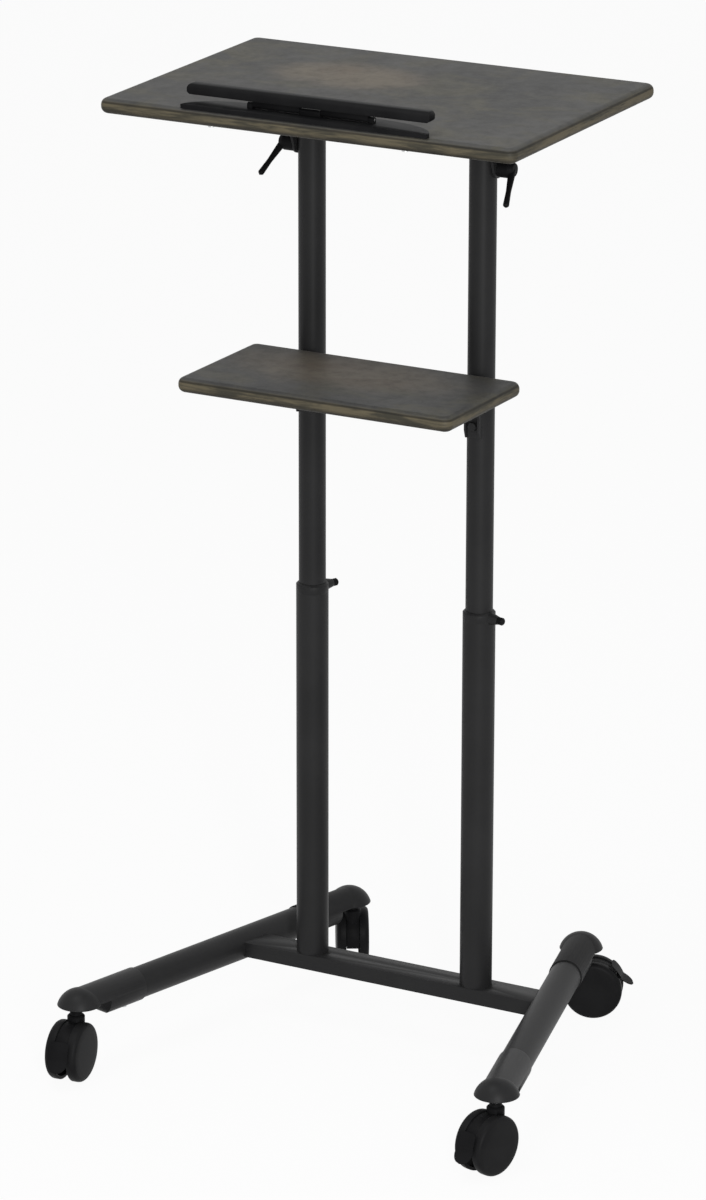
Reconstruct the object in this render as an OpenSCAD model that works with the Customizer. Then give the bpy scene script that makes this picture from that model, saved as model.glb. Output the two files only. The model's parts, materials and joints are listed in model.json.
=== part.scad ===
// Mobile lectern: a tilting table top and a small shelf on two telescopic columns,
// standing on a crossbar and two splayed legs with twin-wheel casters.
// Millimetres. +X is the reader's right, +Y points to the audience side, +Z is up.
// The origin is on the floor, under the middle of the whole object.

/* [Boards] */
// Width of the table top
table_w = 540; // [440:1:640]
// Depth of the table top
table_d = 365; // [320:1:440]
// Corner radius of the table top
table_corner_r = 11; // [9:0.5:60]
// Distance from the columns' axis forward to the table's front edge
table_front = 227; // [200:1:280]
// Width of the shelf
shelf_w = 362; // [300:1:460]
// Depth of the shelf
shelf_d = 185; // [150:1:220]
// Corner radius of the shelf
shelf_corner_r = 11; // [9:0.5:50]
// Distance from the columns' axis forward to the shelf's back edge
shelf_gap = 24; // [22:1:45]
// Distance from the table's upper face down to the shelf's upper face
shelf_drop = 331; // [250:1:420]
// Thickness of both boards
board_t = 18; // [15:1:25]
// Rounding of the boards' edges, as a share of the thickness
edge_round = 0.44; // [0.1:0.01:0.47]

/* [Columns] */
// Distance between the two columns' axes
column_spacing = 228; // [200:1:290]
// Outside diameter of the lower column tubes
outer_d = 39.5; // [37:0.5:46]
// Length of the lower column tubes
outer_l = 468; // [400:0.5:560]
// Outside diameter of the sliding column tubes
inner_d = 33; // [30:0.5:34]
// Length of the sliding column tubes
inner_l = 793; // [700:1:900]
// Height of the sliding tubes' lower end above the crossbar
draw_out = 243; // [215:0.5:330]
// Wall of the lower tubes, the sliding tubes and the leg tubes
tube_wall = 1.5; // [1:0.1:2]

/* [Collars] */
// Height of the collar's flange above the lower tube
collar_h = 12; // [6:0.5:14]
// Chamfer round the collar's top
collar_chamfer = 2.5; // [1:0.5:4]
// Depth of the collar's bush inside the lower tube
bush_l = 30; // [25:1:50]
// Distance from the collar's top down to the lock knob's axis
knob_drop = 7.5; // [4.25:0.25:16]
// Distance from the column's axis to the end of the collar's boss
boss_reach = 30; // [27:0.5:36]
// Radius of the boss at its root
boss_root_r = 8; // [7:0.5:9]
// Radius of the boss at its end
boss_end_r = 4.8; // [4.5:0.1:6]
// Length of the lock knob outside the boss
knob_l = 7; // [4:0.5:14]
// Radius of the lock knob
knob_r = 4.6; // [4:0.1:7]
// Number of flutes round the lock knob
knob_flutes = 8; // [6:1:12]
// Diameter of the lock screw
lock_screw_d = 6; // [5:0.5:6]
// Thickness of the lock's nylon pad
pad_t = 2; // [1.5:0.1:2.5]
// Direction of the left lock knob, from +X towards +Y
left_lock_turn = 66; // [0:1:90]
// Direction of the right lock knob, from +X towards +Y
right_lock_turn = -12; // [-30:1:60]

/* [Legs] */
// Distance between the two legs' axes at the crossbar
leg_spacing = 427; // [400:1:480]
// Angle by which each leg spreads towards the front
leg_splay = 14.6; // [5:0.2:18]
// Outside diameter of the leg tubes
leg_d = 39; // [36:0.5:45]
// Distance along a leg from the crossbar to the front caster's stem
leg_front = 289; // [240:1:340]
// Distance along a leg from the crossbar to the rear caster's stem
leg_rear = 199; // [180:1:260]
// Depth of the crossbar, front to back
bar_d = 40; // [38:1:50]
// Height of the crossbar
bar_h = 19; // [14:1:25]
// Wall of the crossbar
bar_wall = 2; // [1.5:0.1:3]

/* [Leg shoes] */
// Outside diameter of a shoe's sleeve round the leg tube
sleeve_d = 42; // [41.5:0.5:46]
// Distance from the stem to the sleeve's open end
sleeve_end = 100; // [80:1:120]
// Distance from the stem to the start of the full sleeve
sleeve_start = 40; // [32:1:50]
// Radius of the sleeve's lower corner
sleeve_corner_r = 8; // [3:1:12]
// Radius of the hood's rim over the caster's stem
hood_r = 27; // [24:0.5:30]
// Height of the hood above its rim
hood_h = 20; // [18:0.5:24]
// Distance from the stem back to the middle of the hood
hood_back = 6; // [2:0.5:8]
// Distance from the leg's axis up to the hood's rim
hood_rise = 1.5; // [0:0.5:4]
// Wall of the shoe's hollow
shoe_wall = 3; // [2:0.25:4]
// Diameter of the boss round the stem's socket
socket_boss_d = 20; // [16:1:24]
// Depth of the stem's socket
socket_l = 15; // [12:1:16]

/* [Casters] */
// Height from the floor to the shoe's underside
caster_h = 90; // [87:0.5:94]
// Diameter of the wheels
wheel_d = 73; // [65:1:74]
// Width of each wheel
wheel_w = 12.9; // [9:0.1:14]
// Radius of a wheel's outer shoulder
wheel_round = 6; // [2:0.5:6.5]
// Thickness of a wheel's rim
rim_t = 4; // [3:0.5:6]
// Radius of a wheel's hub
hub_r = 11; // [9:0.5:14]
// Thickness of a wheel's face
wheel_face_t = 4.5; // [3:0.5:6]
// Horizontal distance from the stem to the axle
caster_trail = 15; // [12:0.5:18]
// Width of the caster body between the wheels
caster_body_w = 16.2; // [14:0.2:20]
// Gap between the caster body and each wheel
wheel_gap = 0.3; // [0.2:0.1:1]
// Diameter of the caster's neck
neck_d = 21.5; // [18:0.5:22]
// Height of the neck's shoulder above the floor
neck_z = 78.5; // [76:0.5:82]
// Diameter of the collar on the neck
neck_collar_d = 15; // [13:0.5:18]
// Bare length of the stem between the neck and the shoe
stem_show = 7; // [2:0.5:9]
// Diameter of the stem in the shoe
stem_d = 11; // [10:0.5:12]
// Diameter of the stem's pin in the caster body
stem_pin_d = 8; // [6:0.5:9]
// Length of the stem's pin
stem_pin_l = 28; // [20:1:30]
// Diameter of the axle
axle_d = 8; // [6:0.5:9]
// Thickness of a wheel's face over the axle's end
axle_cover = 3; // [2:0.5:4]
// Resting direction of the front left caster, from +X towards +Y
front_left_turn = -83; // [-180:1:180]
// Resting direction of the front right caster
front_right_turn = -103.5; // [-180:0.5:180]
// Resting direction of the rear left caster
rear_left_turn = 121; // [-180:1:180]
// Resting direction of the rear right caster
rear_right_turn = 22; // [-180:1:180]

/* [Brake pedals] */
// Thickness of the pedal's tread panel
pedal_t = 3; // [2:0.1:3.5]
// Width of the pedal's tread panel
pedal_w = 25; // [16:0.5:30]
// Gap between the tread panel and the wheels
pedal_gap = 1.5; // [1:0.25:3]
// Thickness of the pedal's web
pedal_web_t = 5; // [4:0.5:7]
// Angle of the panel's lower edge above the axle's level, pedal pressed
pedal_from = 1; // [-10:1:6]
// Angle of the panel's upper edge above the axle's level, pedal pressed
pedal_to = 34; // [24:1:38]
// Angle that the pedal lifts from pressed to released
pedal_lift = 20; // [12:1:24]
// Angle by which the pedal's lip turns down from the straight outward direction
lip_turn = 53; // [20:1:60]
// Length of the pedal's lip
lip_l = 13.8; // [6:0.2:16]

/* [Tilt joint] */
// Distance from the table's underside down to the tilt axis
pivot_drop = 69; // [60:1:90]
// Angle by which the table's front edge hangs in the photographed position
table_rest_tilt = 1; // [0:0.5:5]
// Distance from the sliding tube's end down to the tilt axis
pivot_inset = 14; // [12:0.5:20]
// Thickness of the tilt bracket's steel
bracket_t = 3; // [2:0.5:4]
// Gap between the sliding tube and each ear of the tilt bracket
ear_gap = 1; // [0.5:0.1:2]
// Radius of the bracket's ear round the bolt
ear_r = 12; // [10:0.5:15]
// Depth of the tilt bracket under the table
bracket_d = 56; // [50:1:80]
// Diameter of the pivot stud
pivot_d = 8; // [6:0.5:10]
// Length of the clamp lever's hub
hub_l = 20; // [14:0.5:24]
// Radius of the clamp lever's hub
lever_hub_r = 10.5; // [7.5:0.25:11]
// Length of the clamp lever's arm
lever_l = 50; // [40:1:56]
// Outward lean of the clamp levers
lever_lean = 12; // [5:1:30]
// Angle by which the right lever's arm hangs below the horizontal
right_lever_dip = 43; // [20:1:80]
// Angle by which the left lever's arm hangs below the horizontal
left_lever_dip = 41; // [20:1:80]

/* [Book stop] */
// Length of the book stop's lip
stop_l = 315; // [280:1:400]
// Length by which the base is longer than the lip at each end
stop_overhang = 2.5; // [0:0.5:10]
// Depth of the book stop's base
stop_base_d = 43; // [40:1:60]
// Thickness of the book stop's base
stop_base_t = 5; // [3:0.25:6]
// Gap from the table's front edge to the base
stop_setback = 2; // [1:0.5:20]
// Distance from the base's front edge back to the lip's hinge
hinge_back = 21; // [16:0.5:26]
// Height of the lip's bar above its hinge
lug_h = 6.5; // [4:0.5:12]
// Height of the lip's bar
stop_bar_h = 12; // [8:0.5:16]
// Depth of the lip's bar, front to back
stop_bar_d = 14; // [8:0.5:15]
// Rounding of the bar's front edge
stop_bar_round = 7; // [3:0.5:7]
// Diameter of the lip's hinge pin
stop_pin_d = 3; // [2:0.5:3]
// Radius of the hinge knuckles
knuckle_r = 3.4; // [3:0.1:4]
// Distance from the middle to the inner edge of each hinge lug
lug_inner = 14; // [10:1:30]
// Distance from the middle to the outer edge of each hinge lug
lug_outer = 75; // [60:1:120]
// Length of the base's outer knuckles
knuckle_l = 6.5; // [5:0.5:15]

/* [Shelf brackets] */
// Width of the shelf brackets
arm_w = 20; // [18:1:28]
// Thickness of the shelf brackets' steel
arm_t = 2.5; // [2:0.25:3]
// Height of the bracket's flange on the column
arm_h = 62; // [46:1:80]
// Reach of the bracket's cheeks in front of its flange
arm_cheek = 8; // [6:1:20]
// Length of the bracket's arm under the shelf
arm_l = 148; // [100:1:152]

/* [Fasteners] */
// Diameter of the wood screws
screw_d = 4; // [3:0.5:5]
// Depth of the wood screws in the boards
screw_bite = 11; // [8:1:13]
// Diameter of the screw heads
screw_head_d = 8; // [7:0.5:10]
// Height of the screw heads
screw_head_h = 2.4; // [1.5:0.1:3]
// Diameter of the bolts that hold the shelf brackets
shelf_bolt_d = 6; // [5:0.5:8]
// Diameter of the bolts that hold the columns
column_bolt_d = 8; // [6:0.5:10]

/* [Hidden] */
$fn = 64;
left = -1;
right = 1;
front = -1;
rear = 1;
running = 0.05;
fixed = 0.02;
loose = 0.3;
bite = 1;

// Colours of the finishes
coated_steel = "#2a2a2c";
black_plastic = "#1f1f21";
laminate = "#5c5a54";
bright_steel = "#b4b6b8";
nylon = "#3a3a3c";

// Heights
leg_z = caster_h - hood_rise;
bar_top = leg_z + bar_h / 2;
outer_top = bar_top + outer_l;
collar_top = outer_top + collar_h;
knob_z = collar_top - knob_drop;
inner_low = bar_top + draw_out;
inner_top = inner_low + inner_l;
pivot_z = inner_top - pivot_inset;
table_low = pivot_z + pivot_drop;
table_top_z = table_low + board_t;
shelf_top_z = table_top_z - shelf_drop;
shelf_low = shelf_top_z - board_t;
axle_z = wheel_d / 2;
neck_top = caster_h - stem_show;

// Radii
outer_r = outer_d / 2;
inner_r = inner_d / 2;
leg_r = leg_d / 2;
wheel_r = wheel_d / 2;
caster_rim_r = wheel_r - 1.3;
pedal_in_r = wheel_r + pedal_gap;
pedal_out_r = pedal_in_r + pedal_t;
pedal_hub_r = axle_d / 2 + 5.6;
pedal_reach = (pedal_out_r - pedal_t / 2) * cos(pedal_from) + lip_l * cos(lip_turn - pedal_from) + pedal_t / 2;
edge_r = edge_round * board_t;

// Places along Y: the origin is half way between the foremost and the rearmost reach of the casters
front_reach = leg_front * cos(leg_splay) + caster_trail + pedal_reach;
rear_reach = leg_rear * cos(leg_splay) + caster_trail + pedal_reach;
col_y = (front_reach - rear_reach) / 2;
table_y = col_y - table_front + table_d / 2;
shelf_y = col_y - shelf_gap - shelf_d / 2;
stop_front_y = col_y - table_front + stop_setback;
hinge_y = stop_front_y + hinge_back;
hinge_z = table_top_z + stop_base_t + knuckle_r + 0.2;
bar_low_z = hinge_z + lug_h;
stop_base_w = stop_l + 2 * stop_overhang;

// Places along X from a column's axis, outward
ear_in = inner_r + ear_gap;
ear_out = ear_in + bracket_t;
washer_t = 1.5;
washer_r = ear_r - 3;
hub_start = ear_out + washer_t + 0.1;

// Wheels
wheel_in = caster_body_w / 2 + wheel_gap;
wheel_out = wheel_in + wheel_w;

// Plugs and glides
plug_l = 20;
glide_l = 20;
glide_cap = 3;

function stem_s(end) = end == front ? -leg_front : leg_rear;
function stem_x(side, end) = side * leg_spacing / 2 - sin(side * leg_splay) * stem_s(end);
function stem_y(end) = col_y + cos(leg_splay) * stem_s(end);
function caster_turn(side, end) =
    end == front ? (side == left ? front_left_turn : front_right_turn)
                 : (side == left ? rear_left_turn : rear_right_turn);
function lock_turn(side) = side == left ? left_lock_turn : right_lock_turn;
function lever_dip(side) = side == left ? left_lever_dip : right_lever_dip;

// Frames

// On a column's axis, with +X outward from the middle of the lectern
module column_frame(side) {
    translate([side * column_spacing / 2, col_y, 0]) mirror([side == left ? 1 : 0, 0, 0]) children();
}

// The table with all that is fixed to it, turned about the tilt axis into its resting position
module top_frame() {
    translate([0, col_y, pivot_z]) rotate([table_rest_tilt, 0, 0]) translate([0, -col_y, -pivot_z]) children();
}

// On a leg's axis at the crossbar, with +Y backward along the leg
module leg_frame(side) {
    translate([side * leg_spacing / 2, col_y, leg_z]) rotate([0, 0, side * leg_splay]) children();
}

// On a leg's axis above a stem, with +Y towards the crossbar
module shoe_frame(side, end) {
    leg_frame(side) translate([0, stem_s(end), 0]) rotate([0, 0, end == front ? 0 : 180]) children();
}

// On the floor under a stem, with +X in the direction in which the caster trails
module caster_frame(side, end) {
    translate([stem_x(side, end), stem_y(end), 0]) rotate([0, 0, caster_turn(side, end)]) children();
}

// On a caster's axle, with a flat outline's X trailing and its Y up, extruded along the axle
module across_caster(side, end, width) {
    caster_frame(side, end) translate([caster_trail, 0, axle_z])
        rotate([90, 0, 0]) linear_extrude(width, center = true) children();
}

// On a lock screw's axis, with +Z pointing outward
module lock_frame(side) {
    translate([side * column_spacing / 2, col_y, knob_z]) rotate([0, 0, lock_turn(side)])
        rotate([0, 90, 0]) children();
}

module each_column() {
    for (side = [left, right]) column_frame(side) children();
}

module each_shoe() {
    for (side = [left, right], end = [front, rear]) shoe_frame(side, end) children();
}

// Plain shapes

module tube(r, wall, h) {
    difference() {
        cylinder(r = r, h = h);
        translate([0, 0, -bite]) cylinder(r = r - wall, h = h + 2 * bite);
    }
}

// A cylinder along +X from x0 to x1
module rod_x(r, x0, x1) {
    translate([x0, 0, 0]) rotate([0, 90, 0]) cylinder(r = r, h = x1 - x0);
}

// A cylinder along +Y from y0 to y1
module rod_y(r, y0, y1) {
    translate([0, y0, 0]) rotate([-90, 0, 0]) cylinder(r = r, h = y1 - y0);
}

// A cone from the origin, at a tilt from +Z towards +X and a turn from +X towards +Y
module leaning_rod(r1, r2, h, tilt, turn) {
    rotate([0, tilt, turn]) cylinder(r1 = r1, r2 = r2, h = h);
}

// A hexagonal head or nut along +Z, with the size across its flats
module hexagon(flats, h) {
    cylinder(d = flats / cos(30), h = h, $fn = 6);
}

// A wood screw along +Z with its head below the origin
module wood_screw(length) {
    translate([0, 0, -screw_head_h]) cylinder(d = screw_head_d, h = screw_head_h);
    cylinder(d = screw_d, h = length);
}

// The part of the plane between two angles
module sector(from, to, r) {
    polygon([[0, 0], r * [cos(from), sin(from)],
        1.2 * r * [cos((from + to) / 2), sin((from + to) / 2)], r * [cos(to), sin(to)]]);
}

// The rounded edge of a board, from x = -reach to x = 0
module edge_outline(reach) {
    intersection() {
        union() {
            translate([-reach, 0]) square([reach - edge_r, board_t]);
            translate([-reach, edge_r]) square([reach, board_t - 2 * edge_r]);
            for (z = [edge_r, board_t - edge_r]) translate([-edge_r, z]) circle(edge_r);
        }
        translate([-reach, 0]) square([reach, board_t]);
    }
}

// A board w wide and d deep with round corners and round edges, its underside at z = 0
module shaped_board(w, d, wanted_r) {
    corner_r = max(wanted_r, edge_r + 1);
    straight_w = w - 2 * corner_r;
    straight_d = d - 2 * corner_r;
    rotate([90, 0, 0]) linear_extrude(straight_d, center = true) {
        translate([w / 2, 0]) edge_outline(w / 2);
        mirror([1, 0]) translate([w / 2, 0]) edge_outline(w / 2);
    }
    for (turn = [0, 180]) rotate([0, 0, turn]) translate([0, straight_d / 2, 0])
        rotate([90, 0, 90]) linear_extrude(straight_w, center = true)
            translate([corner_r, 0]) edge_outline(corner_r);
    for (x = [-1, 1], y = [-1, 1])
        translate([x * straight_w / 2, y * straight_d / 2, 0])
            rotate([0, 0, x > 0 ? (y > 0 ? 0 : -90) : (y > 0 ? 90 : 180)])
                rotate_extrude(angle = 90) translate([corner_r, 0]) edge_outline(corner_r);
}

// Base

module crossbar() color(coated_steel) {
    half_l = leg_spacing / 2 - leg_r * 0.4;
    difference() {
        translate([0, col_y, leg_z]) rotate([90, 0, 90]) linear_extrude(2 * half_l, center = true)
            difference() {
                square([bar_d, bar_h], center = true);
                square([bar_d - 2 * bar_wall, bar_h - 2 * bar_wall], center = true);
            }
        for (side = [left, right]) leg_frame(side) rod_y(leg_r + running, -bar_d, bar_d);
        each_column() cylinder(d = column_bolt_d + 2 * loose, h = bar_top + bite);
    }
}

module leg_tube(side) color(coated_steel) {
    inset = tube_start();
    difference() {
        leg_frame(side) translate([0, -leg_front + inset, 0]) rotate([-90, 0, 0])
            tube(leg_r, tube_wall, leg_front + leg_rear - 2 * inset);
        for (end = [front, rear]) shoe_frame(side, end) translate([0, screw_place(), -leg_r - bite])
            cylinder(d = screw_d + 2 * running, h = leg_r);
    }
}

function screw_place() = (sleeve_start + sleeve_end) / 2 + 10;

// Distance from a stem to the leg tube's end, behind the sleeve's closed and rounded front
function tube_start() = sleeve_start + sleeve_corner_r - 1.5;

// The hood's outer shape grown by a margin, which may be negative
module hood_shape(margin) {
    ball_r = (hood_r * hood_r + hood_h * hood_h) / (2 * hood_h);
    intersection() {
        union() {
            translate([0, hood_back, hood_rise + hood_h - ball_r]) sphere(r = ball_r + margin);
            rod_y(sleeve_d / 2 + margin, hood_back, sleeve_start + 1);
        }
        translate([-2 * hood_r, -2 * hood_r, hood_rise]) cube([4 * hood_r, 4 * hood_r + sleeve_start, 2 * hood_r]);
    }
}

module shoe(side, end) color(black_plastic) shoe_frame(side, end) {
    difference() {
        union() {
            hood_shape(0);
            intersection() {
                rod_y(sleeve_d / 2, sleeve_start - bite, sleeve_end);
                rotate([90, 0, 90]) linear_extrude(sleeve_d + 2 * bite, center = true) {
                    translate([sleeve_start - bite, hood_rise]) square([sleeve_end, sleeve_d]);
                    translate([sleeve_start, -sleeve_d / 2 + sleeve_corner_r])
                        square([sleeve_end, sleeve_d]);
                    translate([sleeve_start + sleeve_corner_r, -sleeve_d / 2]) square([sleeve_end, sleeve_d]);
                    translate([sleeve_start + sleeve_corner_r, -sleeve_d / 2 + sleeve_corner_r])
                        circle(sleeve_corner_r);
                }
            }
        }
        // Socket for the leg tube
        rod_y(leg_r + running, tube_start() - running, sleeve_end + bite);
        // Hollow under the hood, round the boss of the stem's socket
        difference() {
            translate([0, 0, -bite]) hood_shape(-shoe_wall);
            translate([0, 0, -bite]) cylinder(d = socket_boss_d, h = 2 * hood_r);
            translate([-2 * hood_r, sleeve_start - 2 * shoe_wall, -2 * hood_r]) cube(4 * hood_r);
        }
        translate([0, 0, hood_rise - bite]) cylinder(d = stem_d + 2 * fixed, h = socket_l + bite);
        translate([0, screw_place(), -sleeve_d / 2 - bite])
            cylinder(d = screw_d + 2 * running, h = sleeve_d / 2);
    }
}

module shoe_screws() color(bright_steel) {
    each_shoe() translate([0, screw_place(), -sleeve_d / 2]) wood_screw(8);
}

module outer_tube(side) color(coated_steel) {
    difference() {
        column_frame(side) translate([0, 0, bar_top]) tube(outer_r, tube_wall, outer_l);
        lock_frame(side) cylinder(d = lock_screw_d + 2 * loose, h = outer_r + bite);
    }
}

module outer_tube_plugs() color(bright_steel) each_column() {
    translate([0, 0, bar_top]) difference() {
        cylinder(r = outer_r - tube_wall - fixed, h = plug_l);
        translate([0, 0, -bite]) cylinder(d = column_bolt_d + 2 * running, h = plug_l + 2 * bite);
    }
}

module column_bolts() color(bright_steel) each_column() {
    translate([0, 0, leg_z - bar_h / 2]) {
        cylinder(d = column_bolt_d, h = bar_h + plug_l - 2);
        translate([0, 0, -0.65 * column_bolt_d]) hexagon(1.6 * column_bolt_d, 0.65 * column_bolt_d);
    }
}

module collar(side) color(black_plastic) {
    difference() {
        union() {
            column_frame(side) {
                translate([0, 0, outer_top - bush_l])
                    cylinder(r = outer_r - tube_wall - fixed, h = bush_l + bite);
                translate([0, 0, outer_top]) cylinder(r = outer_r, h = collar_h - collar_chamfer);
                translate([0, 0, collar_top - collar_chamfer])
                    cylinder(r1 = outer_r, r2 = outer_r - collar_chamfer, h = collar_chamfer);
            }
            difference() {
                lock_frame(side) translate([0, 0, inner_r])
                    cylinder(r1 = boss_root_r, r2 = boss_end_r, h = boss_reach - inner_r);
                // The boss straddles the lower tube and ends level with the collar's top
                column_frame(side) {
                    translate([0, 0, bar_top]) cylinder(r = outer_r + fixed, h = outer_l);
                    translate([0, 0, collar_top]) cylinder(r = 2 * boss_reach, h = 2 * boss_root_r);
                }
            }
        }
        column_frame(side) translate([0, 0, outer_top - bush_l - bite])
            cylinder(r = inner_r + running, h = bush_l + collar_h + 2 * bite);
        lock_frame(side) cylinder(d = lock_screw_d + 2 * running, h = boss_reach + bite);
    }
}

module lock_knob(side) color(black_plastic) lock_frame(side) {
    pad_end = inner_r + loose + pad_t;
    translate([0, 0, pad_end]) cylinder(d = lock_screw_d, h = boss_reach - pad_end + bite);
    translate([0, 0, boss_reach + 0.2]) difference() {
        union() {
            cylinder(r = knob_r, h = knob_l - 1);
            translate([0, 0, knob_l - 1]) cylinder(r1 = knob_r, r2 = knob_r - 1, h = 1);
        }
        for (i = [0 : knob_flutes - 1]) rotate([0, 0, i * 360 / knob_flutes])
            translate([knob_r + 0.5, 0, -bite]) cylinder(r = 1, h = knob_l + 2 * bite);
    }
}

module lock_pads() color(nylon) for (side = [left, right]) lock_frame(side) {
    translate([0, 0, inner_r + loose]) cylinder(d = lock_screw_d - 0.2, h = pad_t);
}

// Lift

module inner_tube(side) color(coated_steel) column_frame(side) {
    difference() {
        translate([0, 0, inner_low]) tube(inner_r, tube_wall, inner_l);
        translate([0, 0, pivot_z]) rod_x(pivot_d / 2 + loose, 0, inner_d);
        for (z = shelf_bolt_heights()) translate([0, 0, z])
            rod_y(shelf_bolt_d / 2 + loose, -inner_d, inner_d);
    }
}

module inner_tube_glides() color(nylon) each_column() {
    translate([0, 0, inner_low]) {
        difference() {
            translate([0, 0, -glide_cap])
                cylinder(r = outer_r - tube_wall - running, h = glide_l + glide_cap);
            cylinder(r = inner_r + fixed, h = glide_l + bite);
        }
        cylinder(r = inner_r - tube_wall - fixed, h = glide_l);
    }
}

module head_plug(side) color(black_plastic) column_frame(side) {
    difference() {
        union() {
            translate([0, 0, pivot_z - plug_l])
                cylinder(r = inner_r - tube_wall - fixed, h = plug_l + pivot_inset);
            translate([0, 0, inner_top]) cylinder(r = inner_r, h = 3);
        }
        translate([0, 0, pivot_z]) rod_x(pivot_d / 2 + fixed, stud_start(), inner_d);
    }
}

// The pivot stud starts inside the head plug
function stud_start() = 4 - inner_r;

// Table

module table_top() color(laminate) top_frame() {
    difference() {
        translate([0, table_y, table_low]) shaped_board(table_w, table_d, table_corner_r);
        each_column() each_bracket_screw() translate([0, 0, -bite])
            cylinder(d = screw_d + 2 * running, h = screw_bite + 1 + bite);
        each_stop_boss() {
            cylinder(r = stop_boss_r + running, h = board_t + bite);
            translate([0, 0, -board_t]) cylinder(d = screw_d + 2 * loose, h = 2 * board_t);
        }
    }
}

// The places of a tilt bracket's four screws on the table's underside, in a column's frame
module each_bracket_screw() {
    for (x = [-1, 1], y = [-1, 1])
        translate([x * (ear_in - screw_head_d), y * (bracket_d / 2 - screw_head_d + 1), table_low]) children();
}

module tilt_bracket(side) color(coated_steel) top_frame() column_frame(side) {
    flange_z = table_low - bracket_t;
    difference() {
        union() {
            translate([-ear_out, -bracket_d / 2, flange_z]) cube([2 * ear_out, bracket_d, bracket_t]);
            translate([ear_in, 0, pivot_z])
                rotate([90, 0, 90]) linear_extrude(bracket_t) {
                    circle(ear_r);
                    polygon([[-ear_r, 0], [ear_r, 0], [bracket_d / 2, pivot_drop - bracket_d / 2],
                        [bracket_d / 2, pivot_drop], [-bracket_d / 2, pivot_drop],
                        [-bracket_d / 2, pivot_drop - bracket_d / 2]]);
                }
        }
        translate([0, 0, pivot_z]) rod_x(pivot_d / 2 + running, ear_in - bite, ear_out + bite);
        each_bracket_screw() translate([0, 0, -bracket_t - bite])
            cylinder(d = screw_d + 2 * loose, h = bracket_t + 2 * bite);
    }
}

module bracket_screws() color(bright_steel) top_frame() each_column() {
    each_bracket_screw() translate([0, 0, -bracket_t]) wood_screw(bracket_t + screw_bite);
}

module pivot_stud(side) color(coated_steel) column_frame(side) translate([0, 0, pivot_z]) {
    rod_x(pivot_d / 2, stud_start() + 0.5, hub_start + hub_l - 4);
}

// A spacer between the tube and the bracket's ear, and a washer between the ear and the lever
module tilt_washers() color(coated_steel) top_frame() each_column() translate([0, 0, pivot_z]) {
    for (span = [[inner_r + running, ear_in], [ear_out, ear_out + washer_t]]) difference() {
        rod_x(washer_r, span[0], span[1]);
        rod_x(pivot_d / 2 + running, span[0] - bite, span[1] + bite);
    }
}

module tilt_lever(side) color(black_plastic) column_frame(side) translate([0, 0, pivot_z]) {
    arm_x = hub_start + hub_l - 4;
    dip = lever_dip(side);
    // The arm's direction: outward by the lean, then forward and down by the dip
    way = [sin(lever_lean), -cos(lever_lean) * cos(dip), -cos(lever_lean) * sin(dip)];
    difference() {
        union() {
            rod_x(lever_hub_r, hub_start, hub_start + hub_l - 2);
            translate([hub_start + hub_l - 2, 0, 0]) rotate([0, 90, 0])
                cylinder(r1 = lever_hub_r, r2 = lever_hub_r - 2, h = 2);
            translate([arm_x, 0, 0]) leaning_rod(4.4, 3, lever_l, acos(way[2]), atan2(way[1], way[0]));
            translate([arm_x, 0, 0] + lever_l * way) sphere(r = 3.8);
        }
        rod_x(pivot_d / 2 + running, hub_start - bite, hub_start + hub_l - 3);
    }
}

// Book stop

stop_boss_r = 4.5;
stop_boss_l = 8;

// The base's plate: a straight front edge and an arched back edge
function arch_y(x) = stop_base_d * sqrt(1 - pow(abs(2 * x / stop_base_w), 3.5));
arch_steps = 24;

module each_stop_boss() {
    for (side = [left, right], place = [[0.4, 0.28], [0.19, 0.77]])
        translate([side * place[0] * stop_l, stop_front_y + place[1] * stop_base_d, table_top_z - stop_boss_l])
            children();
}

module book_stop_base() color(black_plastic) top_frame() {
    difference() {
        union() {
            translate([0, stop_front_y, table_top_z]) linear_extrude(stop_base_t)
                polygon([for (i = [-arch_steps : arch_steps])
                    let (x = sin(90 * i / arch_steps) * stop_base_w / 2) [x, arch_y(x)]]);
            for (span = base_knuckles()) translate([0, hinge_y, hinge_z]) {
                rod_x(knuckle_r, span[0], span[1]);
                translate([span[0], -knuckle_r, -knuckle_r - 0.2])
                    cube([span[1] - span[0], 2 * knuckle_r, knuckle_r + 0.2]);
            }
            each_stop_boss() cylinder(r = stop_boss_r, h = stop_boss_l + bite);
        }
        translate([0, hinge_y, hinge_z]) rod_x(stop_pin_d / 2 + fixed, -stop_l, stop_l);
        each_stop_boss() translate([0, 0, -bite]) cylinder(d = screw_d + 2 * fixed, h = stop_boss_l + bite);
    }
}

// The stretches of the hinge that belong to the base: one in the middle and one at each end
function base_knuckles() = [
    [-lug_outer - 0.5 - knuckle_l, -lug_outer - 0.5],
    [-lug_inner + 0.5, lug_inner - 0.5],
    [lug_outer + 0.5, lug_outer + 0.5 + knuckle_l]];

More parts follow.
